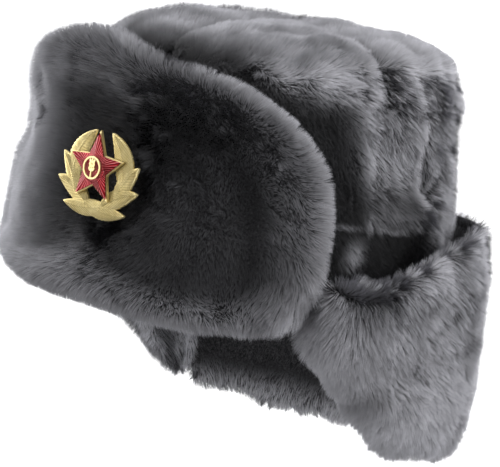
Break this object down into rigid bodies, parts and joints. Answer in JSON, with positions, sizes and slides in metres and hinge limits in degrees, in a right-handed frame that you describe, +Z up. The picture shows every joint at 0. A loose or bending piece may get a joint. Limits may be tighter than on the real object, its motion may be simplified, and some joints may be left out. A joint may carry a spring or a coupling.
{
  "type": "ushanka fur hat with its ear flaps let down",
  "caption": "Grey fur winter hat with a boxy seamed crown, a tall rolled front flap with a star badge, and hanging ear and neck flaps.",
  "frame": {"origin": "middle of the head opening, in the plane of the crown's lower edge at the sides and back, where the hat sits on a head", "axes": "+Z up through the crown, -Y the way the wearer faces, +X towards the wearer's left"},
  "size_m": [0.25, 0.2726, 0.2411],
  "materials": {
    "grey_fur": "deep dense grey fur pile, darker at the roots",
    "pale_gold": "stamped and lightly brushed pale gold",
    "red_enamel": "glossy translucent red enamel over fine rays"
  },
  "bodies": {
    "root": {"crown_front_left": "grey_fur", "crown_front_right": "grey_fur", "crown_back_left": "grey_fur", "crown_back_right": "grey_fur", "front_flap": "grey_fur", "ear_flap_left": "grey_fur", "ear_flap_right": "grey_fur", "neck_flap": "grey_fur", "badge_wreath": "pale_gold", "badge_star": "pale_gold", "badge_enamel": "red_enamel", "badge_device": "pale_gold", "badge_post": "pale_gold"}
  },
  "joints": []
}
